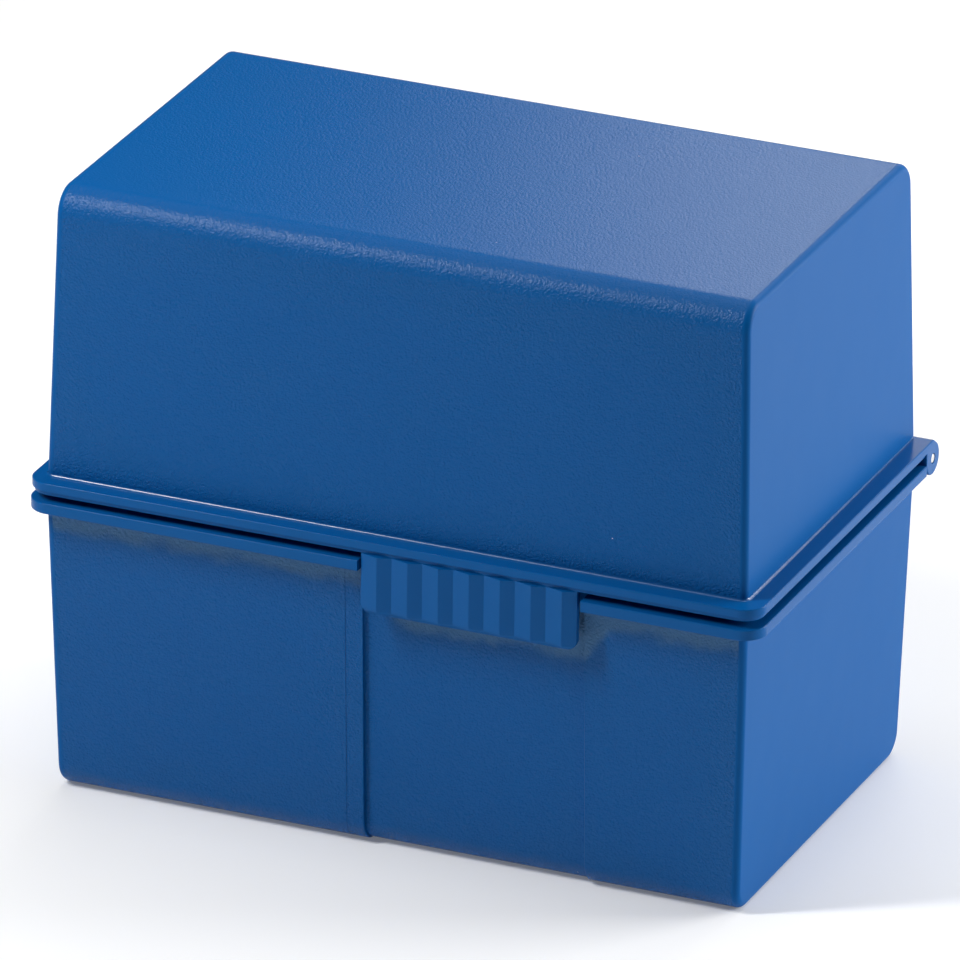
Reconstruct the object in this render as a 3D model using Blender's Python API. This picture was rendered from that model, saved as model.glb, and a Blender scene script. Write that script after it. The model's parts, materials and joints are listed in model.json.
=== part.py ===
"""Hinged index card box for A6 cards held upright on their long edge.

A deep lid and a deep base, both moulded shells, meet at flanged rims and turn
on one steel wire along the back. The origin is the middle of the underside,
+X runs along the long front, +Y to the back, +Z up. Sizes are in millimetres
and mm() turns them into Blender's metres.
"""
import bpy
import bmesh
from math import asin, atan2, cos, degrees, pi, radians, sin, tan
from mathutils import Matrix, Vector

# Cards
CARD_LENGTH = 148.0
CARD_PLAY = 4.4                 # free length beside the cards, both ends together
WALL = 1.8

# Outside, at the rims and at the two closed ends
HEIGHT = 134.4
HALF_LENGTH = (CARD_LENGTH + CARD_PLAY) / 2 + WALL
HALF_DEPTH = 46.9
END_DRAFT = 1.55                # each short wall leans in by this much
FACE_DRAFT = 2.2                # each long wall leans in by this much
LID_EDGE_RADIUS = 5.7           # long top edges
BASE_EDGE_RADIUS = 5.3          # long bottom edges
CORNER_RADIUS = 1.5             # upright corners and short edges

# Rims
RIM_OVERHANG = 4.1              # rims stand out from the walls
RIM_CORNER_RADIUS = 5.0
BASE_RIM_Z = 64.6
BASE_RIM_TOP = 67.0
BASE_RIM_EXTRA = 0.2            # the base rim is this much larger than the lid's
LID_BAND_Z = 68.6               # narrow lower band of the lid rim
LID_BAND_SETBACK = 0.35
LID_RIM_Z = 69.45
LID_RIM_TOP = 71.4
SEAT_GAP = 0.3                  # lid skirt to base rim
LIP_TOP = 69.4                  # inner lip of the base, inside a rebate of the lid
LIP_SETBACK = 1.0               # outer face of the lip behind the wall's outer face
LIP_GAP = 0.3
LIP_END_Y = 40.0

# Hinge
HINGE_Y = 46.26
HINGE_Z = 67.2
KNUCKLE_RADIUS = 3.6
KNUCKLE_COUNT = 9               # lid, base, lid ... lid
KNUCKLE_GAP = 0.4
TURNING_GAP = 0.35
PIN_RADIUS = 1.0
BORE_RADIUS = 1.3
PIN_END_SETBACK = 0.1
BASE_RIM_END_Y = 42.2           # the base's side rims stop short of the knuckles
OPEN_ANGLE = 100.0              # the open lid's back wall leans on the heels
HEEL_REACH = 6.2                # heels stand this far behind the hinge axis
HEEL_THICKNESS = 1.4
KNUCKLE_FOOT = 6.2              # foot of a base knuckle below the hinge axis

# Grip tongue of the lid and the label panel of the base
GRIP_CENTRE = 18.45
GRIP_WIDTH = 47.9
GRIP_BOTTOM = 55.4
GRIP_THICKNESS = 1.55
GRIP_CORNER_RADIUS = 2.2
RIDGE_COUNT = 7
RIDGE_PITCH = 6.83
RIDGE_HEIGHT = 0.9
RIDGE_LONG_SIDE = 4.0           # of each pitch, from the valley up to the crest
RIDGE_FOOT = 1.5                # ridges run out this far above the tongue's lower edge
RIDGE_ROOT = 0.1                # ridges are sunk this far into the tongue
RIM_GAP_LEFT = 0.5              # base rim is cut away beside the tongue
RIM_GAP_RIGHT = 1.0
PANEL_CENTRE = 17.9
PANEL_WIDTH = 49.2
PANEL_DEPTH = 0.95
PANEL_BACKING = 1.6             # wall inside is thickened this far past the panel

# Facets
EDGE_STEPS = 8
CORNER_STEPS = 3
KNUCKLE_STEPS = 32
PIN_STEPS = 24
FAR = 20.0                      # how far cutters reach past what they cut

RIM_HALF_LENGTH = HALF_LENGTH + RIM_OVERHANG
GRIP_FACE_Y = LID_BAND_SETBACK - RIM_OVERHANG - HALF_DEPTH     # level with the lower band


def mm(value):
    return value * 0.001


def plastic(name, colour, roughness):
    material = bpy.data.materials.new(name)
    material.use_nodes = True
    shader = material.node_tree.nodes["Principled BSDF"]
    shader.inputs["Base Color"].default_value = (*colour, 1.0)
    shader.inputs["Roughness"].default_value = roughness
    shader.inputs["Metallic"].default_value = 0.0
    return material


def metal(name, colour, roughness):
    material = plastic(name, colour, roughness)
    material.node_tree.nodes["Principled BSDF"].inputs["Metallic"].default_value = 1.0
    return material


def filleted(corners, steps):
    """Closed outline from (u, v, radius) corners, with each corner rounded."""
    outline = []
    count = len(corners)
    for i, (u, v, radius) in enumerate(corners):
        if radius == 0:
            outline.append((u, v))
            continue
        before, after = corners[i - 1], corners[(i + 1) % count]
        a = Vector((before[0] - u, before[1] - v)).normalized()
        b = Vector((after[0] - u, after[1] - v)).normalized()
        half = a.angle(b) / 2
        centre = Vector((u, v)) + (a + b).normalized() * (radius / sin(half))
        start = Vector((u, v)) + a * (radius / tan(half)) - centre
        end = Vector((u, v)) + b * (radius / tan(half)) - centre
        angle = atan2(start.y, start.x)
        sweep = (atan2(end.y, end.x) - angle + pi) % (2 * pi) - pi
        for k in range(steps + 1):
            turn = angle + sweep * k / steps
            outline.append((centre.x + radius * cos(turn), centre.y + radius * sin(turn)))
    return outline


def solid(name, rings, hidden=True):
    """Closed object from rings of (x, y, z) points, capped at both ends."""
    bm = bmesh.new()
    loops = [[bm.verts.new((mm(x), mm(y), mm(z))) for x, y, z in ring] for ring in rings]
    bm.faces.new(loops[0])
    bm.faces.new(loops[-1])
    for lower, upper in zip(loops, loops[1:]):
        for i in range(len(lower)):
            j = (i + 1) % len(lower)
            bm.faces.new((lower[i], lower[j], upper[j], upper[i]))
    bmesh.ops.recalc_face_normals(bm, faces=bm.faces)
    return linked(name, bm, hidden)


def linked(name, bm, hidden):
    mesh = bpy.data.meshes.new(name)
    bm.to_mesh(mesh)
    bm.free()
    part = bpy.data.objects.new(name, mesh)
    bpy.context.scene.collection.objects.link(part)
    part.hide_render = hidden
    if hidden:
        part.display_type = "WIRE"
    return part


def plate(name, outline, low, high):
    """Outline of (x, y) points standing from z low to z high."""
    return solid(name, [[(x, y, z) for x, y in outline] for z in (low, high)])


def bar(name, outline, low, high):
    """Outline of (y, z) points running from x low to x high."""
    return solid(name, [[(x, y, z) for y, z in outline] for x in (low, high)])


def block(name, x, y, z):
    return plate(name, [(x[0], y[0]), (x[1], y[0]), (x[1], y[1]), (x[0], y[1])], *z)


def circle(radius, steps):
    """Outline of (y, z) points around the hinge axis."""
    return [(HINGE_Y + radius * cos(2 * pi * i / steps), HINGE_Z + radius * sin(2 * pi * i / steps))
            for i in range(steps)]


def change(part, operation, *others):
    """Cut others from the part, or join them to it, one after the other."""
    for other in others:
        modifier = part.modifiers.new(other.name, "BOOLEAN")
        modifier.operation = operation
        modifier.object = other
        modifier.solver = "EXACT"


def tub(name, rim, end, inset, edge_radius, hidden=True):
    """Drafted block from the open rim to the closed end, its long edges rounded.

    inset moves every wall inwards, for the hollow of the same shell.
    """
    side = 1 if end > rim else -1
    length_slope = END_DRAFT / abs(end - rim)
    depth_slope = FACE_DRAFT / abs(end - rim)
    closed = end - side * inset
    opening = rim - (side * FAR if inset else 0.0)

    def half_length(z):
        return HALF_LENGTH - inset - length_slope * abs(z - rim) * (1 if side * (z - rim) > 0 else -1)

    def half_depth(z):
        return HALF_DEPTH - inset - depth_slope * abs(z - rim) * (1 if side * (z - rim) > 0 else -1)

    outline = filleted([(-half_depth(opening), opening, 0), (half_depth(opening), opening, 0),
                        (half_depth(closed), closed, edge_radius),
                        (-half_depth(closed), closed, edge_radius)], EDGE_STEPS)
    part = solid(name, [[(s * half_length(z), y, z) for y, z in outline] for s in (-1, 1)], hidden)
    round_short_edges(part, opening, max(CORNER_RADIUS - inset / 2, 0.5))
    return part


def round_short_edges(part, opening, radius):
    """Round the upright corners and the short closed edges of a tub."""
    bm = bmesh.new()
    bm.from_mesh(part.data)
    ends = [face for face in bm.faces if abs(face.normal.x) > 0.9]
    edges = {edge for face in ends for edge in face.edges
             if not all(abs(vert.co.z - mm(opening)) < mm(0.01) for vert in edge.verts)}
    bmesh.ops.bevel(bm, geom=list(edges), offset=mm(radius), segments=CORNER_STEPS,
                    profile=0.5, affect="EDGES", clamp_overlap=True)
    bmesh.ops.recalc_face_normals(bm, faces=bm.faces)
    bm.to_mesh(part.data)
    bm.free()


def rim_outline(out, back):
    """Plan of a rim that stands out by out from the walls and ends at back."""
    x, front, radius = HALF_LENGTH + out, -(HALF_DEPTH + out), RIM_CORNER_RADIUS
    return filleted([(-x, front, radius), (x, front, radius), (x, back, 0), (-x, back, 0)], 6)


def knuckle_spans():
    """The x range of each knuckle along the hinge, lid and base in turn."""
    width = 2 * RIM_HALF_LENGTH / KNUCKLE_COUNT
    spans = []
    for i in range(KNUCKLE_COUNT):
        low = -RIM_HALF_LENGTH + i * width + (KNUCKLE_GAP / 2 if i else 0)
        high = -RIM_HALF_LENGTH + (i + 1) * width - (KNUCKLE_GAP / 2 if i < KNUCKLE_COUNT - 1 else 0)
        spans.append((low, high))
    return spans


def around_hinge(points):
    return [(HINGE_Y + y, HINGE_Z + z) for y, z in points]


def arc(radius, start, end):
    """Points (y, z) about the hinge axis between two angles in degrees."""
    steps = round(KNUCKLE_STEPS * abs(end - start) / 360)
    angles = [radians(start + (end - start) * i / steps) for i in range(steps + 1)]
    return [(radius * cos(angle), radius * sin(angle)) for angle in angles]


def turning_room(name, low, high):
    """Cutter that clears the other shell's knuckle between low and high."""
    reach = KNUCKLE_RADIUS + TURNING_GAP
    return bar(name, circle(reach, KNUCKLE_STEPS), low - KNUCKLE_GAP, high + KNUCKLE_GAP)


def lid_knuckle():
    """Section (y, z) of a lid knuckle, which hangs from the back of the rim."""
    top = LID_RIM_TOP - 0.03 - HINGE_Z
    return around_hinge(arc(KNUCKLE_RADIUS, 180, 360 + 62) + [(-0.3, top), (-KNUCKLE_RADIUS, top)])


def heel_point(height):
    """Back face of the wide-open lid, height above the hinge when it is closed."""
    slope = FACE_DRAFT / (HEIGHT - BASE_RIM_TOP - SEAT_GAP)
    y = HALF_DEPTH - HINGE_Y - slope * (height + HINGE_Z - BASE_RIM_TOP - SEAT_GAP)
    turn = radians(OPEN_ANGLE)
    return (y * cos(turn) + height * sin(turn), height * cos(turn) - y * sin(turn) - TURNING_GAP)


def base_knuckle():
    """Section (y, z) of a base knuckle with its foot on the wall and its heel behind."""
    near, far = heel_point(KNUCKLE_RADIUS), heel_point(HEEL_REACH)
    start = -degrees(asin(-near[1] / KNUCKLE_RADIUS))
    wall = HALF_DEPTH - HINGE_Y
    return around_hinge(arc(KNUCKLE_RADIUS, start, 180)
                        + [(wall - WALL + 0.3, -KNUCKLE_FOOT), (wall - 0.5, -KNUCKLE_FOOT),
                           (far[0], far[1] - HEEL_THICKNESS), far])


def ridge_plan(height):
    """Plan (x, y) of the sawtooth ridges, their feet sunk into the tongue."""
    sunk = GRIP_FACE_Y + RIDGE_ROOT
    first = GRIP_CENTRE - RIDGE_COUNT * RIDGE_PITCH / 2
    outline = [(first + RIDGE_ROOT, sunk + 0.5)]
    for i in range(RIDGE_COUNT):
        foot = first + i * RIDGE_PITCH + RIDGE_ROOT
        outline += [(foot, sunk), (foot + RIDGE_LONG_SIDE, sunk - height)]
    last = first + RIDGE_COUNT * RIDGE_PITCH - RIDGE_ROOT
    return outline + [(last, sunk), (last, sunk + 0.5)]


def tongue_face(inset, top):
    """Outline (x, z) of the tongue's face with its two rounded lower corners."""
    half = GRIP_WIDTH / 2 - inset
    left, right, bottom = GRIP_CENTRE - half, GRIP_CENTRE + half, GRIP_BOTTOM + inset
    return filleted([(left, top, 0), (left, bottom, GRIP_CORNER_RADIUS - inset),
                     (right, bottom, GRIP_CORNER_RADIUS - inset), (right, top, 0)], 5)


def slab(name, outline, front, back):
    """Outline of (x, z) points running from y front to y back."""
    return solid(name, [[(x, y, z) for x, z in outline] for y in (front, back)])


def grip():
    """Tongue that hangs from the front rim, with its ridged thumb face."""
    tongue = slab("grip_tongue", tongue_face(0.0, LID_RIM_Z + 0.5),
                  GRIP_FACE_Y, GRIP_FACE_Y + GRIP_THICKNESS)
    low, full, top = GRIP_BOTTOM + RIDGE_FOOT * 0.3, GRIP_BOTTOM + RIDGE_FOOT, LID_BAND_Z - 0.05
    crest = RIDGE_HEIGHT + RIDGE_ROOT
    levels = ((0.0, low), (crest, full), (crest, top))
    rings = [[(x, y, z) for x, y in ridge_plan(height)] for height, z in levels]
    ridges = solid("grip_ridges", rings)
    change(ridges, "INTERSECT", slab("grip_field", tongue_face(RIDGE_ROOT, top + 1.0),
                                     GRIP_FACE_Y - 2.0, GRIP_FACE_Y + 1.0))
    return tongue, ridges


def lid_rebate():
    """Inner half of the lid's skirt, cut away for the base's lip."""
    inset = LIP_SETBACK - LIP_GAP
    x, y = HALF_LENGTH - inset, HALF_DEPTH - inset
    return plate("lid_rebate", filleted([(-x, -y, 1.0), (x, -y, 1.0), (x, LIP_END_Y + 0.5, 0),
                                         (-x, LIP_END_Y + 0.5, 0)], CORNER_STEPS),
                 BASE_RIM_TOP - FAR, LIP_TOP + LIP_GAP)


def lid_shell(material):
    part = tub("lid_shell", BASE_RIM_TOP + SEAT_GAP, HEIGHT, 0.0, LID_EDGE_RADIUS, hidden=False)
    hollow = tub("lid_hollow", BASE_RIM_TOP + SEAT_GAP, HEIGHT, WALL, LID_EDGE_RADIUS - WALL)
    rim = plate("lid_rim", rim_outline(RIM_OVERHANG, HINGE_Y), LID_RIM_Z, LID_RIM_TOP)
    band = plate("lid_band", rim_outline(RIM_OVERHANG - LID_BAND_SETBACK, HINGE_Y - 1.0),
                 LID_BAND_Z, LID_RIM_Z + 0.4)
    change(part, "UNION", rim, band, *grip())
    change(part, "DIFFERENCE", hollow, lid_rebate())
    for i, span in enumerate(knuckle_spans()):
        if i % 2:
            change(part, "DIFFERENCE", turning_room(f"lid_room_{i}", *span))
        else:
            change(part, "UNION", bar(f"lid_knuckle_{i}", lid_knuckle(), *span))
    change(part, "DIFFERENCE", bore("lid_bore"))
    part.data.materials.append(material)
    return part


def bore(name):
    return bar(name, circle(BORE_RADIUS, PIN_STEPS), -RIM_HALF_LENGTH - FAR, RIM_HALF_LENGTH + FAR)


def base_hollow():
    """Inside of the base, with the wall kept thick behind the label panel."""
    hollow = tub("base_hollow", BASE_RIM_Z, 0.0, WALL, BASE_EDGE_RADIUS - WALL)
    backing = tub("base_backing", BASE_RIM_Z, 0.0, WALL + 0.01, BASE_EDGE_RADIUS - WALL)
    backing.location.y = mm(PANEL_DEPTH)
    half = PANEL_WIDTH / 2 + PANEL_BACKING
    keep = block("base_backing_span", (PANEL_CENTRE - half, PANEL_CENTRE + half), (-FAR - HALF_DEPTH, 0.0),
                 (-FAR, BASE_RIM_Z + FAR - 1.0))
    change(keep, "DIFFERENCE", backing)
    change(hollow, "DIFFERENCE", keep)
    return hollow


def panel_cutter():
    """Label panel: the front wall set back between two upright steps."""
    behind = tub("panel_floor", BASE_RIM_Z, 0.0, 0.0, BASE_EDGE_RADIUS)
    behind.location.y = mm(PANEL_DEPTH)
    cutter = block("panel_span", (PANEL_CENTRE - PANEL_WIDTH / 2, PANEL_CENTRE + PANEL_WIDTH / 2),
                   (-HALF_DEPTH - FAR, -HALF_DEPTH / 2), (-FAR, BASE_RIM_Z - 0.01))
    change(cutter, "DIFFERENCE", behind)
    return cutter


def lip():
    """Thin inner lip on the front and both ends, which keeps the closed lid in line."""
    x, y = HALF_LENGTH - LIP_SETBACK, HALF_DEPTH - LIP_SETBACK
    return plate("base_lip", filleted([(-x, -y, 0.8), (x, -y, 0.8), (x, LIP_END_Y, 0), (-x, LIP_END_Y, 0)],
                                      CORNER_STEPS), BASE_RIM_Z, LIP_TOP)


def tongue_room():
    """Gap in the base's front rim through which the lid's tongue hangs."""
    left = GRIP_CENTRE - GRIP_WIDTH / 2 - RIM_GAP_LEFT
    right = GRIP_CENTRE + GRIP_WIDTH / 2 + RIM_GAP_RIGHT
    return block("base_tongue_room", (left, right), (-HALF_DEPTH - FAR, -HALF_DEPTH + PANEL_DEPTH),
                 (BASE_RIM_Z - 1.0, BASE_RIM_TOP + 1.0))


def base_shell(material):
    part = tub("base_shell", BASE_RIM_Z, 0.0, 0.0, BASE_EDGE_RADIUS, hidden=False)
    rim = plate("base_rim", rim_outline(RIM_OVERHANG + BASE_RIM_EXTRA, BASE_RIM_END_Y),
                BASE_RIM_Z - 0.02, BASE_RIM_TOP)
    back_wall = block("base_back_wall", (-HALF_LENGTH + 0.6, HALF_LENGTH - 0.6), (LIP_END_Y, HALF_DEPTH),
                      (BASE_RIM_Z - 1.0, BASE_RIM_TOP))
    change(part, "DIFFERENCE", panel_cutter())
    change(rim, "DIFFERENCE", tongue_room())
    change(part, "UNION", rim, back_wall, lip())
    change(part, "DIFFERENCE", base_hollow())
    for i, span in enumerate(knuckle_spans()):
        if i % 2:
            change(part, "UNION", bar(f"base_knuckle_{i}", base_knuckle(), *span))
        else:
            change(part, "DIFFERENCE", turning_room(f"base_room_{i}", *span))
    change(part, "DIFFERENCE", bore("base_bore"))
    part.data.materials.append(material)
    return part


def hinge_pin(material):
    """Steel wire through all the knuckles; its origin is on the hinge axis."""
    half = RIM_HALF_LENGTH - PIN_END_SETBACK
    part = bar("hinge_pin", circle(PIN_RADIUS, PIN_STEPS), -half, half)
    part.hide_render = False
    part.display_type = "TEXTURED"
    part.data.transform(Matrix.Translation((0, -mm(HINGE_Y), -mm(HINGE_Z))))
    part.location = (0, mm(HINGE_Y), mm(HINGE_Z))
    part.data.materials.append(material)
    return part


def main():
    for old in list(bpy.data.objects):
        bpy.data.objects.remove(old, do_unlink=True)
    blue = plastic("blue_moulded_plastic", (0.014, 0.105, 0.36), 0.42)
    steel = metal("bright_steel", (0.72, 0.73, 0.75), 0.25)
    parts = [base_shell(blue), lid_shell(blue), hinge_pin(steel)]
    for part in parts:
        part.data.shade_smooth()
        part.data.set_sharp_from_angle(angle=radians(35))


main()
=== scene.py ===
"""Looks of a hinged index card box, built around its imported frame."""
import json
from math import asin, cos, degrees, pi, radians, sin

import bmesh
import bpy
from bpy.props import FloatProperty, IntProperty, PointerProperty, StringProperty
from mathutils import Matrix, Vector


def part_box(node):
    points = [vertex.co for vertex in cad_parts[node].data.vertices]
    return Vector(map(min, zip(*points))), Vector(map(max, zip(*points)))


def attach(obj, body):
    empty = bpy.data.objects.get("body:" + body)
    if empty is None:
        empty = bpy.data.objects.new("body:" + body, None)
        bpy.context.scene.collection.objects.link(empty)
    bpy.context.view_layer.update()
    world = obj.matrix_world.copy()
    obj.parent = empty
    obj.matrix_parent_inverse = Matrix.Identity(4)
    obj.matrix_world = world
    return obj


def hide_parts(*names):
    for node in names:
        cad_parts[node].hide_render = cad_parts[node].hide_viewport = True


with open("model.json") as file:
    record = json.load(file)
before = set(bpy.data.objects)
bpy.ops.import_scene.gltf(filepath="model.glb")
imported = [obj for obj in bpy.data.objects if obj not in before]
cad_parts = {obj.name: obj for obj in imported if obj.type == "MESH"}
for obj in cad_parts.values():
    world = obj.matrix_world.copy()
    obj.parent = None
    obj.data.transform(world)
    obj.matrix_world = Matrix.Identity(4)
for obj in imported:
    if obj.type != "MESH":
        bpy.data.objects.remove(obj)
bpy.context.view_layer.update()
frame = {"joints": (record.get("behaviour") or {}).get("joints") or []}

bl_info = {
    "name": "Index card box",
    "version": (1, 0, 0),
    "blender": (4, 5, 0),
    "location": "3D View > Sidebar > Card box",
    "description": "Builds the base, lid and hinge wire of a moulded card box, and its studio",
    "category": "Add Mesh",
}

MM = 0.001
JOINT = frame["joints"][0]
HINGE_Y, HINGE_Z = JOINT["pos_m"][1], JOINT["pos_m"][2]
OPEN_ANGLE = JOINT["range_deg"][1]
END_RELIEF = 0.02 * MM          # keeps the end eyes just inside the rims
WELD = 0.03 * MM                # keeps two joined solids from sharing a plane
GRIP_EDGE = 0.22 * MM           # softness of the tongue's edges and the panel's steps
INSERT_WIDTH = 0.16 * MM        # joint line of the mould insert
INSERT_DEPTH = 0.09 * MM
LIP_CORNER = 1.0 * MM           # plan radius of the base's lip
MOUTH_CORNER = 1.2 * MM         # plan radius of the lid's rebate
MOUTH_EDGE = 0.1 * MM
CAVITY_RISE = 8 * MM            # how far the cutter of an inside reaches past the rim
LEATHER, SATIN, POLISHED, BURNISHED = range(4)
TONGUE_REACH = 0.9 * MM         # faces further out than this in front belong to rim or tongue
RIDGE_REACH = 2.5 * MM          # and further out than this again, to the ridges
FLOOR_GLOW = 0.15
WORLD_LIGHT = 0.02
BASE_LOW, BASE_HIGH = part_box("base_shell")
LID_LOW, LID_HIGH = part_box("lid_shell")
PIN_LOW, PIN_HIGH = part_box("hinge_pin")


def length(name, millimetres, description):
    """A size that a user can change, in Blender's length unit."""
    return FloatProperty(name=name, description=description, default=millimetres * MM,
                         unit="LENGTH", subtype="DISTANCE", precision=5)


def colour(name, hex_code, description):
    return StringProperty(name=name, description=description, default=hex_code)


class ShellSizes(bpy.types.PropertyGroup):
    """Walls and rims that the base and the lid share."""
    wall: length("Wall", 1.8, "Thickness of every wall")
    overhang: length("Rim overhang", 4.1, "How far the lid's rim stands out from the walls")
    base_extra: length("Base rim extra", 0.2, "How much further the base's rim stands out")
    left_trim: length("Left trim", 1.2, "How much less both rims stand out at the left end")
    rim_corner: length("Rim corner", 5.0, "Plan radius of the rims' corners")
    upright_corner: length("Upright corner", 1.5, "Radius of upright corners and short edges")
    lid_edge: length("Lid edge", 5.7, "Radius of the lid's long top edges")
    base_edge: length("Base edge", 5.3, "Radius of the base's long bottom edges")
    half_depth: length("Half depth", 46.9, "From the middle to the long walls, at the rims")
    end_draft: length("End draft", 1.55, "How far each short wall leans in")
    face_draft: length("Face draft", 2.2, "How far each long wall leans in")
    soft_edge: length("Soft edge", 0.25, "Radius left by the tool on every other edge")
    root_fillet: length("Root fillet", 0.55, "Fillet between the lid's walls and its rim")
    lip_setback: length("Lip setback", 1.0, "Outer face of the base's lip behind the wall face")
    lip_end: length("Lip end", 40.0, "Where the base's lip stops, behind the middle")
    inner_corner: length("Inner corner", 0.9, "Radius of the upright corners inside")
    lip_gap: length("Lip gap", 0.3, "Play between the lip and the lid's rebate")
    lip_height: length("Lip height", 2.4, "How far the lip stands above the base's rim")


class RimHeights(bpy.types.PropertyGroup):
    """Levels of the two rims above the desk."""
    base_low: length("Base rim underside", 64.6, "Underside of the base's rim")
    base_top: length("Base rim top", 67.0, "Top of the base's rim")
    skirt: length("Skirt", 67.3, "Lower edge of the lid's wall")
    band: length("Band", 68.6, "Lower edge of the narrow band of the lid's rim")
    step: length("Step", 69.45, "Step between the band and the upper rim")
    lid_top: length("Lid rim top", 71.4, "Top of the lid's rim")
    setback: length("Band setback", 0.5, "How far the band lies behind the upper rim")


class GripSizes(bpy.types.PropertyGroup):
    """Thumb tongue of the lid."""
    centre: length("Centre", 18.45, "Middle of the tongue, right of the box's middle")
    width: length("Width", 47.9, "Width of the tongue")
    bottom: length("Bottom", 55.4, "Lower edge of the tongue above the desk")
    thickness: length("Thickness", 1.55, "Thickness of the tongue behind its ridges")
    corner: length("Corner", 2.2, "Radius of the two lower corners")
    pitch: length("Pitch", 6.83, "Distance from ridge to ridge")
    long_side: length("Long side", 4.0, "From a valley up to the crest, the gentler side")
    height: length("Ridge height", 1.15, "How far the crests stand out")
    run_out: length("Run-out", 1.9, "Height over which a ridge fades above the lower edge")
    count: IntProperty(name="Ridges", description="Number of ridges", default=7, min=1)


class PanelSizes(bpy.types.PropertyGroup):
    """Label panel in the base's front wall."""
    centre: length("Centre", 17.9, "Middle of the panel, right of the box's middle")
    width: length("Width", 49.2, "Width of the panel")
    depth: length("Depth", 0.95, "How far the panel is set back")
    insert_line: length("Insert line", 3.9, "From the panel to the joint line of the mould insert")
    gap_left: length("Gap left", 0.5, "Rim gap left of the tongue")
    gap_right: length("Gap right", 1.0, "Rim gap right of the tongue")


class HingeSizes(bpy.types.PropertyGroup):
    """Eyes along the back and the wire through them."""
    radius: length("Eye radius", 3.6, "Outer radius of the eyes")
    bore: length("Bore radius", 1.12, "Radius of the hole for the wire")
    gap: length("Gap", 0.4, "Gap between two eyes")
    clearance: length("Clearance", 0.35, "Room around the other shell's eyes")
    heel: length("Heel", 6.2, "How far the heels stand behind the axis")
    heel_wall: length("Heel wall", 1.4, "Thickness of the heels")
    foot: length("Foot", 6.2, "Foot of a base eye below the axis")
    edge: length("Edge", 0.3, "Radius of the eyes' end edges")
    count: IntProperty(name="Eyes", description="Eyes in all, lid and base in turn", default=9, min=3)


class FinishColours(bpy.types.PropertyGroup):
    """Colours of the mouldings and the wire, as sRGB hex codes."""
    blue: colour("Blue", "#055597", "Through-coloured blue plastic")
    # painted shadow: the grey of the shade under the base's rim and round the tongue, where the floor's
    # reflection shows
    shadow_grey: colour("Haze", "#4F7898", "Grey bloom left in the corners")
    dust: colour("Dust", "#DDE6F2", "Specks of dust")
    steel: colour("Steel", "#D9DADC", "Drawn steel wire")


class StageSettings(bpy.types.PropertyGroup):
    """Camera and studio."""
    azimuth: FloatProperty(name="Azimuth", description="Camera to the right of the front",
                           unit="ROTATION", subtype="ANGLE", default=radians(22.871))
    elevation: FloatProperty(name="Elevation", description="Camera above the desk", unit="ROTATION",
                             subtype="ANGLE", default=radians(23.481))
    roll: FloatProperty(name="Roll", description="Tilt of the camera", unit="ROTATION",
                        subtype="ANGLE", default=radians(0.651))
    lens: FloatProperty(name="Lens", description="Focal length", unit="CAMERA", default=518.0)
    distance: length("Distance", 2861.0, "From the camera to the point it aims at")
    aim_height: length("Aim height", 65.8, "Height of the point that the camera aims at")
    aim_side: length("Aim side", -0.5, "How far the camera aims to the right of the box's middle")
    floor: colour("Floor", "#F4F4F4", "Pale floor")


# ---- Edit-mode helpers ----

def start_block(name, low, high):
    """Add a cube that fills the box from low to high and open it for editing."""
    bpy.ops.object.select_all(action="DESELECT")
    low, high = Vector(low), Vector(high)
    bpy.ops.mesh.primitive_cube_add(size=1, location=(low + high) / 2)
    block = bpy.context.object
    block.name = block.data.name = name
    block.scale = high - low
    bpy.ops.object.transform_apply(location=True, rotation=True, scale=True)
    bpy.ops.object.mode_set(mode="EDIT")
    return block


def finish_editing():
    bpy.ops.object.mode_set(mode="OBJECT")


def open_mesh(mode):
    """The edited mesh with nothing selected, in the given selection mode."""
    bpy.ops.mesh.select_mode(type=mode)
    bpy.ops.mesh.select_all(action="DESELECT")
    return bmesh.from_edit_mesh(bpy.context.edit_object.data)


def select_faces(test):
    """Select just the faces whose middle and normal pass the test."""
    for face in open_mesh("FACE").faces:
        face.select_set(test(face.calc_center_median(), face.normal))
    bmesh.update_edit_mesh(bpy.context.edit_object.data)


def select_edges(test):
    """Select just the edges that pass the test.

    The test gets the edge's middle, the normals of its two faces and the edge.
    """
    mesh = open_mesh("EDGE")
    for edge in mesh.edges:
        middle = (edge.verts[0].co + edge.verts[1].co) / 2
        edge.select_set(test(middle, *(face.normal for face in edge.link_faces), edge))
    bmesh.update_edit_mesh(bpy.context.edit_object.data)


def select_points(test):
    for vert in open_mesh("VERT").verts:
        vert.select_set(test(vert.co))
    bmesh.update_edit_mesh(bpy.context.edit_object.data)


def near(a, b, tolerance=0.02 * MM):
    return abs(a - b) < tolerance


def runs_along(edge, axis):
    a, b = (vert.co for vert in edge.verts)
    return abs((b - a).normalized()[axis]) > 0.99


def cut_faces(test, axis, places):
    """Divide the faces that pass the test along planes across one axis."""
    for place in places:
        select_faces(test)
        centre, normal = [0.0, 0.0, 0.0], [0.0, 0.0, 0.0]
        centre[axis], normal[axis] = place, 1.0
        bpy.ops.mesh.bisect(plane_co=centre, plane_no=normal)


def round_selected(radius, segments):
    bpy.ops.mesh.bevel(offset=radius, segments=segments, profile=0.5, affect="EDGES",
                       clamp_overlap=False, miter_outer="ARC")


def apply_modifier(piece, kind, **settings):
    bpy.ops.object.select_all(action="DESELECT")
    piece.select_set(True)
    bpy.context.view_layer.objects.active = piece
    modifier = piece.modifiers.new(kind.title(), kind)
    for name, value in settings.items():
        setattr(modifier, name, value)
    bpy.ops.object.modifier_apply(modifier=modifier.name)


def combine(piece, operation, tool):
    """Cut the tool from the piece or join it on, and remove the tool."""
    apply_modifier(piece, "BOOLEAN", operation=operation, object=tool, solver="EXACT")
    bpy.data.objects.remove(tool, do_unlink=True)


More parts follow.
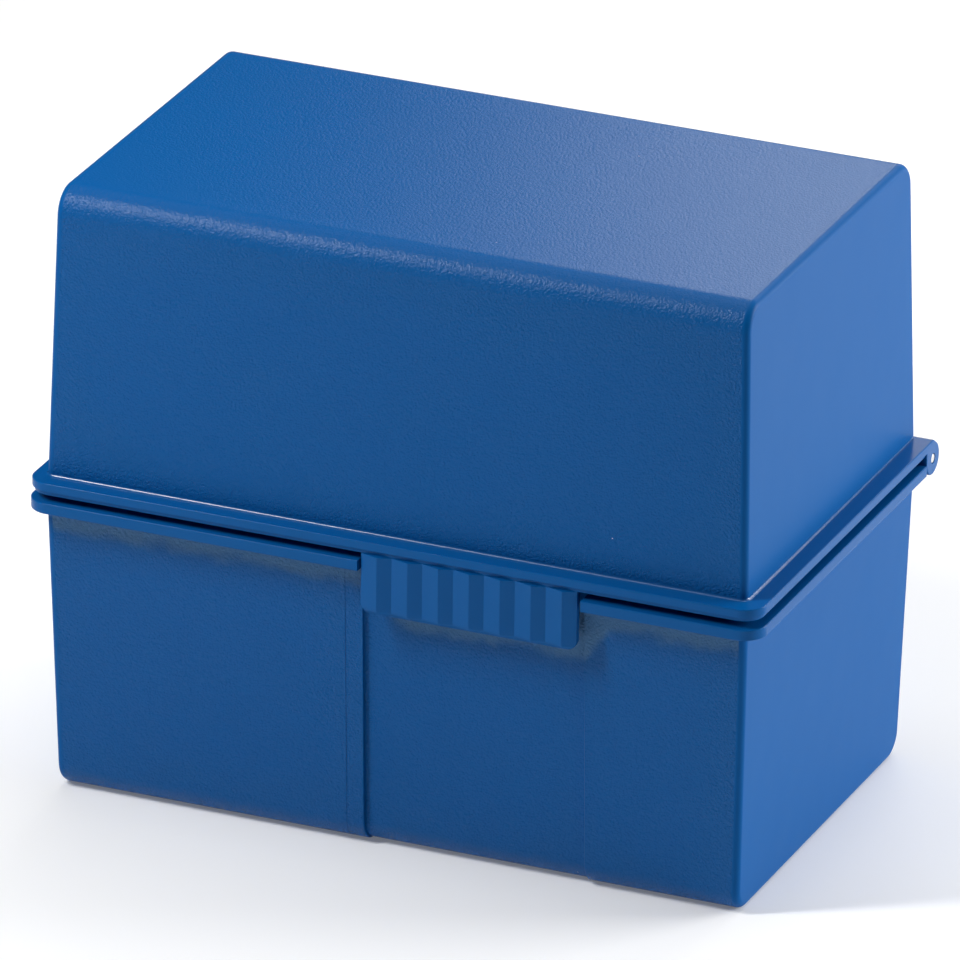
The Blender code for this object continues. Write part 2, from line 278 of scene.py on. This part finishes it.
def smooth(piece, angle, crease=None):
    """Shade the piece smooth, but keep edges sharper than the angle and those that pass the test crisp."""
    bpy.ops.object.select_all(action="DESELECT")
    piece.select_set(True)
    bpy.context.view_layer.objects.active = piece
    bpy.ops.object.shade_smooth_by_angle(angle=angle)
    if crease:
        bpy.ops.object.mode_set(mode="EDIT")
        select_edges(crease)
        bpy.ops.mesh.mark_sharp()
        finish_editing()
    apply_modifier(piece, "WEIGHTED_NORMAL", keep_sharp=True, weight=100)


def block_tool(low, high):
    tool = start_block("tool", low, high)
    finish_editing()
    return tool


def bar(name, outline, low, high, edge=0.0):
    """Extrude an outline of (y, z) points from x low to x high, its end edges softened."""
    bpy.ops.object.select_all(action="DESELECT")
    bpy.ops.mesh.primitive_circle_add(vertices=len(outline), radius=1, fill_type="NGON")
    piece = bpy.context.object
    piece.name = piece.data.name = name
    for vert, (y, z) in zip(piece.data.vertices, outline):
        vert.co = (low, y, z)
    bpy.ops.object.mode_set(mode="EDIT")
    bpy.ops.mesh.select_all(action="SELECT")
    bpy.ops.mesh.extrude_region_move(TRANSFORM_OT_translate={"value": (high - low, 0, 0)})
    bpy.ops.mesh.select_all(action="SELECT")
    bpy.ops.mesh.normals_make_consistent(inside=False)
    if edge:
        select_edges(lambda c, n1, n2, e: not runs_along(e, 0))
        round_selected(edge, 2)
    finish_editing()
    return piece


def drum(name, radius, low, high, sides=96):
    """Round bar about the hinge axis."""
    turns = [2 * pi * i / sides for i in range(sides)]
    outline = [(HINGE_Y + radius * cos(t), HINGE_Z + radius * sin(t)) for t in turns]
    return bar(name, outline, low, high)


def hinge_arc(radius, start, end, step=4):
    """Points (y, z) about the hinge axis between two angles in degrees."""
    count = max(round(abs(end - start) / step), 1)
    turns = [radians(start + (end - start) * i / count) for i in range(count + 1)]
    return [(radius * cos(t), radius * sin(t)) for t in turns]


def eye_spans(sizes, left_trim):
    """The x range of each eye along the hinge, lid and base in turn."""
    low, high = LID_LOW.x + left_trim, LID_HIGH.x
    width = (high - low) / sizes.count
    spans = []
    for i in range(sizes.count):
        left = low + i * width + (sizes.gap / 2 if i else END_RELIEF)
        right = low + (i + 1) * width - (sizes.gap / 2 if i < sizes.count - 1 else END_RELIEF)
        spans.append((left, right))
    return spans


# ---- What the two shells share ----

def drafted_block(name, x, y, rim, end, draft, edge, corner, straight=0.0):
    """Block that leans in from its rim to its closed end, rounded along its edges.

    It is upright for a short way beyond the rim, away from the closed end.
    """
    over = rim + straight * (1 if rim > end else -1)
    block = start_block(name, (-x, -y, min(over, end)), (x, y, max(over, end)))
    if straight:
        cut_faces(lambda c, n: abs(n.z) < 0.5, 2, [rim])
    select_points(lambda p: near(p.z, end))
    bpy.ops.transform.resize(value=(1 - draft[0] / x, 1 - draft[1] / y, 1), center_override=(0, 0, 0))
    select_edges(lambda c, n1, n2, e: near(c.z, end) and runs_along(e, 0))
    round_selected(edge, 16)

    def at_end_wall(c, n1, n2, edge):
        wall, other = sorted((n1, n2), key=lambda n: -abs(n.x))
        return abs(wall.x) > 0.95 and abs(other.x) < 0.2 and not near(c.z, over)

    select_edges(at_end_wall)
    round_selected(corner, 6)
    finish_editing()
    return block


def rim_plate(name, x, y, back, low, high, corner, soft, left_trim=0.0):
    """Flat plate that stands out round the front and both ends, with soft edges."""
    plate = start_block(name, (left_trim - x, -y, low), (x, back, high))
    select_edges(lambda c, n1, n2, e: runs_along(e, 2) and c.y < 0)
    round_selected(corner, 14)
    select_edges(lambda c, n1, n2, e: not runs_along(e, 2) and c.y < back - 1 * MM)
    round_selected(soft, 3)
    finish_editing()
    return plate


def front_slice(shell, left, right, depth, top):
    """What has to come off the front wall between left and right to set it back by depth."""
    low, high = min(v.co.y for v in shell.data.vertices), 0
    cutter = block_tool((left, 2 * low, -20 * MM), (right, high, top))
    behind = shell.copy()
    behind.data = shell.data.copy()
    bpy.context.scene.collection.objects.link(behind)
    behind.location.y = depth
    combine(cutter, "DIFFERENCE", behind)
    return cutter


def add_eyes(piece, hinge, own, outline, left_trim):
    """Join this shell's eyes on, make room for the other shell's, and drill them all."""
    for i, (low, high) in enumerate(eye_spans(hinge, left_trim)):
        if i % 2 == own:
            combine(piece, "UNION", bar("eye", outline, low, high, hinge.edge))
        else:
            room_gap = hinge.gap - WELD
            room = drum("room", hinge.radius + hinge.clearance, low - room_gap, high + room_gap)
            combine(piece, "DIFFERENCE", room)
    reach = 1.2 * BASE_HIGH.x
    combine(piece, "DIFFERENCE", drum("bore", hinge.bore, -reach, reach, 48))


# ---- Base ----

def base_eye(box, rims, hinge):
    """Section (y, z) of a base eye with its foot on the wall and its heel behind."""
    slope = box.face_draft / (LID_HIGH.z - rims.skirt)
    turn = radians(OPEN_ANGLE)

    def heel(height):
        y = box.half_depth - HINGE_Y - slope * (height + HINGE_Z - rims.skirt)
        return (y * cos(turn) + height * sin(turn),
                height * cos(turn) - y * sin(turn) - hinge.clearance)

    first, last = heel(hinge.radius), heel(hinge.heel)
    start = -degrees(asin(-first[1] / hinge.radius))
    wall = box.half_depth - HINGE_Y
    points = hinge_arc(hinge.radius, start, 180)
    points += [(wall - box.wall + 0.3 * MM, -hinge.foot), (wall - 0.5 * MM, -hinge.foot),
               (last[0], last[1] - hinge.heel_wall), last]
    return [(HINGE_Y + y, HINGE_Z + z) for y, z in points]


def soften_steps(panel, radius):
    """Take the sharpness off the two steps beside the label panel."""
    sides = (panel.centre - panel.width / 2, panel.centre + panel.width / 2)

    def at_step(c, n1, n2, edge):
        step, wall = sorted((n1, n2), key=lambda n: -abs(n.x))
        return (abs(step.x) > 0.99 and abs(wall.x) < 0.1 and c.y < 0 and edge.is_convex
                and any(near(c.x, side) for side in sides))

    bpy.ops.object.mode_set(mode="EDIT")
    select_edges(at_step)
    round_selected(radius, 2)
    finish_editing()


class CARDBOX_OT_base(bpy.types.Operator):
    """Model the base: walls, label panel, rim, lip and its share of the hinge"""
    bl_idname = "cardbox.base"
    bl_label = "Base"

    def execute(self, context):
        scene = context.scene
        box, rims, panel = scene.card_shell, scene.card_rims, scene.card_panel
        grip, hinge = scene.card_grip, scene.card_hinge
        x, y = LID_HIGH.x - box.overhang, box.half_depth
        draft = (box.end_draft, box.face_draft)
        upright = rims.base_top - rims.base_low
        tub = (x, y, rims.base_low, 0.0, draft, box.base_edge, box.upright_corner, upright)
        piece = drafted_block("base_moulding", *tub)
        left, right = panel.centre - panel.width / 2, panel.centre + panel.width / 2
        whole = drafted_block("whole", *tub)
        below = rims.base_low - 0.05 * MM
        combine(piece, "DIFFERENCE", front_slice(whole, left, right, panel.depth, below))
        line = left - panel.insert_line
        combine(piece, "DIFFERENCE",
                front_slice(whole, line, line + INSERT_WIDTH, INSERT_DEPTH, below))
        bpy.data.objects.remove(whole, do_unlink=True)
        soften_steps(panel, GRIP_EDGE)
        out = box.overhang + box.base_extra
        rim_end = HINGE_Y - hinge.radius - hinge.clearance - 0.11 * MM
        rim = rim_plate("rim", x + out, y + out, rim_end, rims.base_low, rims.base_top,
                        box.rim_corner, box.soft_edge, box.left_trim)
        tongue_left = grip.centre - grip.width / 2 - panel.gap_left
        tongue_right = grip.centre + grip.width / 2 + panel.gap_right
        notch = block_tool((tongue_left, -2 * y, 0), (tongue_right, 0.5 * MM - y, LID_HIGH.z))
        combine(rim, "DIFFERENCE", notch)
        combine(piece, "UNION", rim)
        lip = rim_plate("lip", x - box.lip_setback, y - box.lip_setback, box.lip_end, rims.base_low,
                        rims.base_top + box.lip_height, LIP_CORNER, box.soft_edge)
        combine(piece, "UNION", lip)
        self.hollow(piece, box, rims, panel, x, y, draft)
        add_eyes(piece, hinge, 1, base_eye(box, rims, hinge), box.left_trim)
        finish_piece(piece, "base", "base_shell", "base_plastic")
        return {"FINISHED"}

    def hollow(self, piece, box, rims, panel, x, y, draft):
        """Cut the inside out, and leave the wall its full thickness behind the label panel."""
        inner = (x - box.wall, y - box.wall, rims.base_low, box.wall, draft,
                 box.base_edge - box.wall, box.inner_corner, CAVITY_RISE)
        cavity = drafted_block("cavity", *inner)
        whole = drafted_block("whole", *inner)
        half = panel.width / 2 + box.wall
        backing = front_slice(whole, panel.centre - half, panel.centre + half, panel.depth,
                              rims.base_low - 1 * MM)
        bpy.data.objects.remove(whole, do_unlink=True)
        combine(cavity, "DIFFERENCE", backing)
        combine(piece, "DIFFERENCE", cavity)


# ---- Lid ----

def lid_eye(hinge, rims):
    """Section (y, z) of a lid eye, which hangs from the back of the rim."""
    top = rims.lid_top - 0.03 * MM - HINGE_Z
    points = hinge_arc(hinge.radius, 180, 360 + 62)
    points += [(0.7 * MM, top - 0.25 * MM), (-0.3 * MM, top), (-hinge.radius, top)]
    return [(HINGE_Y + y, HINGE_Z + z) for y, z in points]


def grip_tongue(grip, rims, face_y):
    """Flat tongue whose front is drawn out into sawtooth ridges that fade at the foot."""
    left, right = grip.centre - grip.width / 2, grip.centre + grip.width / 2
    top = rims.band - 0.02 * MM
    tongue = start_block("grip", (left, face_y, grip.bottom),
                         (right, face_y + grip.thickness, rims.band + 0.6 * MM))
    select_edges(lambda c, n1, n2, e: runs_along(e, 1) and c.z < grip.bottom + 1 * MM)
    round_selected(grip.corner, 10)
    select_edges(lambda c, n1, n2, e: c.z < rims.band and not runs_along(e, 1) and e.is_convex
                 and e.calc_face_angle() > radians(50))
    round_selected(GRIP_EDGE, 3)
    finish_editing()
    combine(tongue, "UNION", ridges(grip, face_y, top))
    return tongue


def ridges(grip, face_y, top):
    """Sawtooth ridges with a round run-out at the foot, drawn out of one block."""
    margin, proud, rounds = 0.28 * MM, 0.03 * MM, 7
    left, right = (grip.centre + side * (grip.width / 2 - margin) for side in (-1, 1))
    start = grip.centre - grip.count * grip.pitch / 2
    valleys = [start + i * grip.pitch for i in range(1, grip.count)]
    crests = [start + i * grip.pitch + grip.long_side for i in range(grip.count)]
    foot = grip.bottom + margin
    block = start_block("ridges", (left, face_y - proud, foot), (right, face_y + 0.3 * MM, top))

    def is_front(c, n):
        return n.y < -0.9

    cut_faces(is_front, 0, sorted(valleys + crests))
    turns = [pi / 2 * k / rounds for k in range(1, rounds + 1)]
    shares = {foot + grip.run_out * (1 - cos(turn)): sin(turn) for turn in turns}
    shares[top - 0.1 * MM] = 1.0
    cut_faces(is_front, 2, list(shares))
    shares[top] = 0.85
    for height, share in shares.items():
        select_points(lambda p: near(p.z, height) and any(near(p.x, crest) for crest in crests)
                      and p.y < face_y)
        bpy.ops.transform.translate(value=(0, -grip.height * share, 0))
    select_points(lambda p: near(p.z, foot) and p.y < face_y)
    bpy.ops.transform.translate(value=(0, 2 * proud, 0))
    finish_editing()
    field = start_block("field", (left - proud, face_y - 2 * grip.height, foot - proud),
                        (right + proud, face_y + 2 * grip.height, top + proud))
    select_edges(lambda c, n1, n2, e: runs_along(e, 1) and c.z < foot)
    round_selected(grip.corner - margin, 10)
    finish_editing()
    combine(block, "INTERSECT", field)
    return block


class CARDBOX_OT_lid(bpy.types.Operator):
    """Model the lid: walls, rim, thumb tongue and its share of the hinge"""
    bl_idname = "cardbox.lid"
    bl_label = "Lid"

    def execute(self, context):
        scene = context.scene
        box, rims, grip, hinge = scene.card_shell, scene.card_rims, scene.card_grip, scene.card_hinge
        x, y = LID_HIGH.x - box.overhang, box.half_depth
        draft = (box.end_draft, box.face_draft)
        piece = drafted_block("lid_moulding", x, y, rims.skirt, LID_HIGH.z, draft, box.lid_edge,
                              box.upright_corner)
        back = HINGE_Y - rims.setback
        band_out = box.overhang - rims.setback
        for name, out, low, high in (("rim", box.overhang, rims.step, rims.lid_top),
                                     ("band", band_out, rims.band, rims.step + 0.4 * MM)):
            plate = rim_plate(name, x + out, y + out, back, low, high,
                              box.rim_corner + out - box.overhang, box.soft_edge, box.left_trim)
            combine(piece, "UNION", plate)
        self.fillet_root(box, rims, back)
        face_y = rims.setback - y - box.overhang + 0.02 * MM
        combine(piece, "UNION", grip_tongue(grip, rims, face_y))
        self.hollow(piece, box, rims, x, y, draft)
        add_eyes(piece, hinge, 0, lid_eye(hinge, rims), box.left_trim)
        finish_piece(piece, "lid", "lid_shell", "lid_plastic")
        return {"FINISHED"}

    def fillet_root(self, box, rims, back):
        """Fillet the corner between the rim's top and the walls."""
        bpy.ops.object.mode_set(mode="EDIT")
        select_edges(lambda c, n1, n2, e: near(c.z, rims.lid_top) and not e.is_convex
                     and e.calc_face_angle() > radians(50) and c.y < back - 0.5 * MM)
        round_selected(box.root_fillet, 5)
        finish_editing()

    def hollow(self, piece, box, rims, x, y, draft):
        """Cut the inside out, and widen its mouth for the base's lip."""
        cavity = drafted_block("cavity", x - box.wall, y - box.wall, rims.skirt, LID_HIGH.z - box.wall,
                               draft, box.lid_edge - box.wall, box.inner_corner, CAVITY_RISE)
        combine(piece, "DIFFERENCE", cavity)
        mouth = box.lip_setback - box.lip_gap
        rebate = rim_plate("mouth", x - mouth, y - mouth, box.lip_end + 0.5 * MM, rims.base_low,
                           rims.base_top + box.lip_height + box.lip_gap, MOUTH_CORNER, MOUTH_EDGE)
        combine(piece, "DIFFERENCE", rebate)


# ---- Hinge wire ----

class CARDBOX_OT_hinge_wire(bpy.types.Operator):
    """Model the steel wire that runs through every eye"""
    bl_idname = "cardbox.hinge_wire"
    bl_label = "Hinge wire"

    def execute(self, context):
        radius = (PIN_HIGH.z - PIN_LOW.z) / 2
        low, high = PIN_LOW.x + context.scene.card_shell.left_trim, PIN_HIGH.x
        bpy.ops.object.select_all(action="DESELECT")
        middle = ((low + high) / 2, HINGE_Y, HINGE_Z)
        bpy.ops.mesh.primitive_cylinder_add(vertices=64, radius=radius, depth=high - low,
                                            location=middle, rotation=(0, pi / 2, 0))
        wire = context.object
        wire.name = wire.data.name = "hinge_wire"
        bpy.ops.object.transform_apply(location=True, rotation=True, scale=True)
        bpy.ops.object.mode_set(mode="EDIT")
        select_edges(lambda c, n1, n2, e: not runs_along(e, 0))
        round_selected(0.18 * MM, 3)
        finish_editing()
        smooth(wire, radians(35))
        wire.data.materials.append(drawn_steel(context.scene.card_finish))
        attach(wire, "base")
        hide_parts("hinge_pin")
        return {"FINISHED"}


# ---- Materials ----

def linear(hex_code):
    """sRGB hex code as linear RGBA."""
    values = [int(hex_code[i:i + 2], 16) / 255 for i in (1, 3, 5)]
    return (*(v / 12.92 if v <= 0.04045 else ((v + 0.055) / 1.055) ** 2.4 for v in values), 1.0)


def add_node(tree, kind, inputs=None, **settings):
    """Add a node, set its properties, and set or link its inputs."""
    node = tree.nodes.new(kind)
    for name, value in settings.items():
        setattr(node, name, value)
    for name, value in (inputs or {}).items():
        if isinstance(value, bpy.types.NodeSocket):
            tree.links.new(value, node.inputs[name])
        else:
            node.inputs[name].default_value = value
    return node


def new_material(name):
    """Material with a bare Principled shader."""
    material = bpy.data.materials.new(name)
    material.use_nodes = True
    return material, material.node_tree, material.node_tree.nodes["Principled BSDF"]


def blue_plastic(name, finish, roughness, specular, grain, shade_painted=False):
    """Injection-moulded polystyrene, coloured right through: deep even blue under a clear gloss."""
    material, tree, shader = new_material(name)
    place = add_node(tree, "ShaderNodeTexCoord").outputs["Object"]
    tint = linear(finish.blue)
    # painted shadow: grey mixed into the blue where the base's rim and tongue cast their shade
    if shade_painted:
        shade_mix = {"Factor": painted_shade(tree, place), "A": tint, "B": linear(finish.shadow_grey)}
        tint = add_node(tree, "ShaderNodeMix", shade_mix, data_type="RGBA").outputs["Result"]
    specks = {"Factor": dust(tree, place), "A": tint, "B": linear(finish.dust)}
    dusty = add_node(tree, "ShaderNodeMix", specks, data_type="RGBA")
    for socket, value in {"IOR": 1.5, "Specular IOR Level": specular, "Roughness": roughness}.items():
        shader.inputs[socket].default_value = value
    tree.links.new(dusty.outputs["Result"], shader.inputs["Base Color"])
    tree.links.new(grain(tree, place), shader.inputs["Normal"])
    return material


def painted_shade(tree, place):
    """Painted shadow on the base's front: a ragged grey band under the rim that dips below the tongue,
    where the rim and the tongue cast their shade and the floor's reflection greys it.
    """
    rims, grip = bpy.context.scene.card_rims, bpy.context.scene.card_grip
    along = add_node(tree, "ShaderNodeSeparateXYZ", {"Vector": place}).outputs
    offset = add_node(tree, "ShaderNodeMath", {0: along["X"], 1: grip.centre + 3 * MM},
                      operation="SUBTRACT")
    beside = add_node(tree, "ShaderNodeMath", {0: offset.outputs[0]}, operation="ABSOLUTE")
    border = add_node(tree, "ShaderNodeMapRange", {
        "Value": beside.outputs[0],
        "From Min": grip.width / 2 - 4 * MM, "From Max": grip.width / 2 + 4 * MM,
        "To Min": grip.bottom - 4 * MM, "To Max": rims.base_low - 5 * MM},
        interpolation_type="SMOOTHSTEP")
    rags = add_node(tree, "ShaderNodeTexNoise", {"Vector": place, "Scale": 1 / (7 * MM), "Detail": 4.0})
    wander = add_node(tree, "ShaderNodeMath", {0: rags.outputs["Fac"], 1: 6 * MM, 2: border.outputs[0]},
                      operation="MULTIPLY_ADD")
    above = add_node(tree, "ShaderNodeMath", {0: along["Z"], 1: wander.outputs[0]}, operation="SUBTRACT")
    share = add_node(tree, "ShaderNodeMapRange", {
        "Value": above.outputs[0], "From Min": -4.5 * MM, "From Max": -1.0 * MM,
        "To Min": 0.0, "To Max": 0.6}, interpolation_type="SMOOTHSTEP")
    front = add_node(tree, "ShaderNodeMath", {0: along["Y"], 1: 0.0}, operation="LESS_THAN")
    return add_node(tree, "ShaderNodeMath", {0: share.outputs[0], 1: front.outputs[0]},
                    operation="MULTIPLY").outputs[0]


def dust(tree, place):
    """A few specks of dust, about 0.2 mm across and some 8 mm apart."""
    cells = add_node(tree, "ShaderNodeTexVoronoi", {"Vector": place, "Scale": 1 / (8 * MM)})
    spot = add_node(tree, "ShaderNodeMath", {0: cells.outputs["Distance"], 1: 0.013}, operation="LESS_THAN")
    share = add_node(tree, "ShaderNodeSeparateColor", {"Color": cells.outputs["Color"]})
    rare = add_node(tree, "ShaderNodeMath", {0: share.outputs["Red"], 1: 0.3}, operation="LESS_THAN")
    return add_node(tree, "ShaderNodeMath", {0: spot.outputs[0], 1: rare.outputs[0]},
                    operation="MULTIPLY").outputs[0]


def leather_grain(tree, place):
    """Etched leather grain: soft pebbles about 0.55 mm across, shallower on the lid's top."""
    height_up = add_node(tree, "ShaderNodeSeparateXYZ", {"Vector": place}).outputs["Z"]
    depth = add_node(tree, "ShaderNodeMapRange", {
        "Value": height_up, "From Min": LID_HIGH.z - 7 * MM, "From Max": LID_HIGH.z,
        "To Min": 0.19 * MM, "To Max": 0.045 * MM})
    wander = add_node(tree, "ShaderNodeTexNoise",
                      {"Vector": place, "Scale": 1 / (1.1 * MM), "Detail": 2.0})
    shift = add_node(tree, "ShaderNodeVectorMath", {0: wander.outputs["Color"], "Scale": 0.35 * MM},
                     operation="SCALE")
    bent = add_node(tree, "ShaderNodeVectorMath", {0: place, 1: shift.outputs[0]}, operation="ADD")
    pebbles = add_node(tree, "ShaderNodeTexVoronoi", {"Vector": bent.outputs[0], "Scale": 1 / (0.55 * MM),
                                                      "Smoothness": 0.6}, feature="SMOOTH_F1")
    fine = add_node(tree, "ShaderNodeTexNoise", {"Vector": place, "Scale": 1 / (0.3 * MM), "Detail": 3.0})
    height = add_node(tree, "ShaderNodeMath", {0: fine.outputs["Fac"], 1: pebbles.outputs["Distance"]},
                      operation="SUBTRACT")
    return add_node(tree, "ShaderNodeBump", {"Height": height.outputs[0], "Strength": 1.0,
                                             "Distance": depth.outputs[0]}).outputs["Normal"]


def satin_skin(tree, place):
    """Fine spark-eroded skin of the end walls, with a slow ripple from the mould."""
    skin = add_node(tree, "ShaderNodeTexNoise",
                    {"Vector": place, "Scale": 1 / (0.5 * MM), "Detail": 2.0})
    ripple = add_node(tree, "ShaderNodeTexNoise",
                      {"Vector": place, "Scale": 1 / (14 * MM), "Detail": 1.0})
    slow = add_node(tree, "ShaderNodeBump", {"Height": ripple.outputs["Fac"], "Strength": 1.0,
                                             "Distance": 0.12 * MM})
    return add_node(tree, "ShaderNodeBump", {"Height": skin.outputs["Fac"], "Strength": 0.6,
                                             "Distance": 0.006 * MM, "Normal": slow.outputs["Normal"]}
                    ).outputs["Normal"]


def polished_skin(tree, place):
    """Polished tool surface of rims and grip, with faint flow marks."""
    flow = add_node(tree, "ShaderNodeTexNoise", {"Vector": place, "Scale": 1 / (3 * MM), "Detail": 2.0})
    return add_node(tree, "ShaderNodeBump", {"Height": flow.outputs["Fac"], "Strength": 0.5,
                                             "Distance": 0.012 * MM}).outputs["Normal"]


def drawn_steel(finish):
    """Cold-drawn steel wire, cut to length: a bright metal with lengthwise die lines."""
    material, tree, shader = new_material("drawn_steel_wire")
    place = add_node(tree, "ShaderNodeTexCoord").outputs["Object"]
    stretched = add_node(tree, "ShaderNodeMapping", {"Vector": place, "Scale": (0.02, 1.0, 1.0)})
    lines = add_node(tree, "ShaderNodeTexNoise",
                     {"Vector": stretched.outputs[0], "Scale": 1 / (0.08 * MM)})
    bump = add_node(tree, "ShaderNodeBump", {"Height": lines.outputs["Fac"], "Strength": 0.5,
                                             "Distance": 0.004 * MM})
    shader.inputs["Base Color"].default_value = linear(finish.steel)
    shader.inputs["Metallic"].default_value = 1.0
    shader.inputs["Roughness"].default_value = 0.28
    tree.links.new(bump.outputs["Normal"], shader.inputs["Normal"])
    return material


def finish_piece(piece, body, node, slot):
    """Give a moulding its finishes face by face, and tie it to the frame."""
    scene = bpy.context.scene
    finish, rims, box = scene.card_finish, scene.card_rims, scene.card_shell
    grip_y = -box.half_depth - TONGUE_REACH
    ridge_y = grip_y - RIDGE_REACH

    def is_ridge_edge(c, n1, n2, edge):
        return (c.y < ridge_y and c.z < rims.band and n1.x * n2.x < 0
                and edge.calc_face_angle() > radians(20))

    smooth(piece, radians(47), is_ridge_edge)
    # The base's grained skin gets the painted shadow under its rim and round the tongue.
    shade_painted = body == "base"
    # Leather glints in small broken points, satin looks even and soft, the polished rims carry
    # smooth faint reflections, and the burnished fillet draws a light line where wall meets rim.
    for material in (blue_plastic(slot + "_leather_grain", finish, 0.27, 0.16, leather_grain, shade_painted),
                     blue_plastic(slot + "_satin", finish, 0.4, 0.06, satin_skin),
                     blue_plastic(slot + "_polished", finish, 0.22, 0.1, polished_skin),
                     blue_plastic(slot + "_burnished", finish, 0.24, 0.7, polished_skin)):
        piece.data.materials.append(material)
    for face in piece.data.polygons:
        c, n = face.center, face.normal
        rim = rims.base_low - 0.3 * MM < c.z < rims.lid_top + box.root_fillet + 0.2 * MM
        fillet = rims.lid_top < c.z < rims.lid_top + box.root_fillet and 0.15 < n.z < 0.98
        if fillet and body == "lid":
            face.material_index = BURNISHED
        elif rim or c.y < grip_y or c.y > box.half_depth + 0.3 * MM:
            face.material_index = POLISHED
        elif abs(n.x) < 0.05 and is_outside(c, n):
            face.material_index = LEATHER
        else:
            face.material_index = SATIN
    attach(piece, body)
    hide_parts(node)


def is_outside(c, n):
    """True for the outer skin: its normal points away from the box's middle."""
    return n.y * c.y + n.z * (c.z - HINGE_Z) > 0


# ---- Stage ----

def area_light(name, place, aim, size, power):
    data = bpy.data.lights.new(name, "AREA")
    data.shape, data.size, data.size_y = "RECTANGLE", size[0], size[1]
    data.energy = power
    light = bpy.data.objects.new(name, data)
    bpy.context.scene.collection.objects.link(light)
    light.location = place
    light.rotation_euler = (Vector(aim) - Vector(place)).to_track_quat("-Z", "Y").to_euler()


def stage_camera(stage):
    """Camera on its direction from the box, with its small roll."""
    az, el, roll = stage.azimuth, stage.elevation, stage.roll
    back = Vector((sin(az) * cos(el), -cos(az) * cos(el), sin(el)))
    right = Vector((cos(az), sin(az), 0))
    up = back.cross(right)
    right_axis = right * cos(roll) + up * sin(roll)
    up_axis = up * cos(roll) - right * sin(roll)
    place = Vector((0, 0, stage.aim_height)) + right_axis * stage.aim_side + back * stage.distance
    data = bpy.data.cameras.new("camera")
    data.lens, data.sensor_width, data.clip_end = stage.lens, 36.0, 50.0
    camera = bpy.data.objects.new("camera", data)
    bpy.context.scene.collection.objects.link(camera)
    turn = Matrix((right_axis, up_axis, back)).transposed().to_4x4()
    camera.matrix_world = Matrix.Translation(place) @ turn
    bpy.context.scene.camera = camera


class CARDBOX_OT_stage(bpy.types.Operator):
    """Set up the pale floor, the soft lights and the camera"""
    bl_idname = "cardbox.stage"
    bl_label = "Stage"

    def execute(self, context):
        stage = context.scene.card_stage
        stage_camera(stage)
        bpy.ops.object.select_all(action="DESELECT")
        bpy.ops.mesh.primitive_plane_add(size=12)
        floor = context.object
        floor.name = "floor"
        material, tree, shader = new_material("pale_paper")
        shader.inputs["Base Color"].default_value = linear(stage.floor)
        shader.inputs["Roughness"].default_value = 0.9
        shader.inputs["Emission Color"].default_value = linear(stage.floor)
        shader.inputs["Emission Strength"].default_value = FLOOR_GLOW
        floor.data.materials.append(material)
        world = bpy.data.worlds.new("studio")
        world.use_nodes = True
        background = world.node_tree.nodes["Background"]
        background.inputs["Color"].default_value = (1, 1, 1, 1)
        background.inputs["Strength"].default_value = WORLD_LIGHT
        context.scene.world = world
        area_light("key", (-0.27, -0.28, 0.46), (-0.05, -0.03, 0.1), (0.05, 0.24), 2.2)
        area_light("top", (0.0, 0.3, 1.5), (0, 0, 0.07), (1.2, 1.2), 9.0)
        area_light("right", (1.05, 0.75, 0.35), (0, 0, 0.07), (0.8, 0.8), 21.0)
        area_light("behind", (0.02, 0.6, 0.42), (0.05, 0, 0.13), (0.5, 0.36), 1.5)
        context.scene.view_settings.view_transform = "Standard"
        return {"FINISHED"}


class CARDBOX_PT_panel(bpy.types.Panel):
    """Lists the pieces in the sidebar"""
    bl_idname = "CARDBOX_PT_panel"
    bl_label = "Index card box"
    bl_space_type = "VIEW_3D"
    bl_region_type = "UI"
    bl_category = "Card box"

    def draw(self, context):
        for operator in OPERATORS:
            self.layout.operator(operator.bl_idname)


GROUPS = {"card_shell": ShellSizes, "card_rims": RimHeights, "card_grip": GripSizes,
          "card_panel": PanelSizes, "card_hinge": HingeSizes, "card_finish": FinishColours,
          "card_stage": StageSettings}
OPERATORS = (CARDBOX_OT_base, CARDBOX_OT_lid, CARDBOX_OT_hinge_wire, CARDBOX_OT_stage)
CLASSES = (*GROUPS.values(), *OPERATORS, CARDBOX_PT_panel)


def register():
    for item in CLASSES:
        bpy.utils.register_class(item)
    for name, group in GROUPS.items():
        setattr(bpy.types.Scene, name, PointerProperty(type=group))


def unregister():
    for name in GROUPS:
        delattr(bpy.types.Scene, name)
    for item in reversed(CLASSES):
        bpy.utils.unregister_class(item)


def main():
    register()
    bpy.ops.cardbox.stage()
    bpy.ops.cardbox.base()
    bpy.ops.cardbox.lid()
    bpy.ops.cardbox.hinge_wire()


if __name__ == "__main__":
    main()
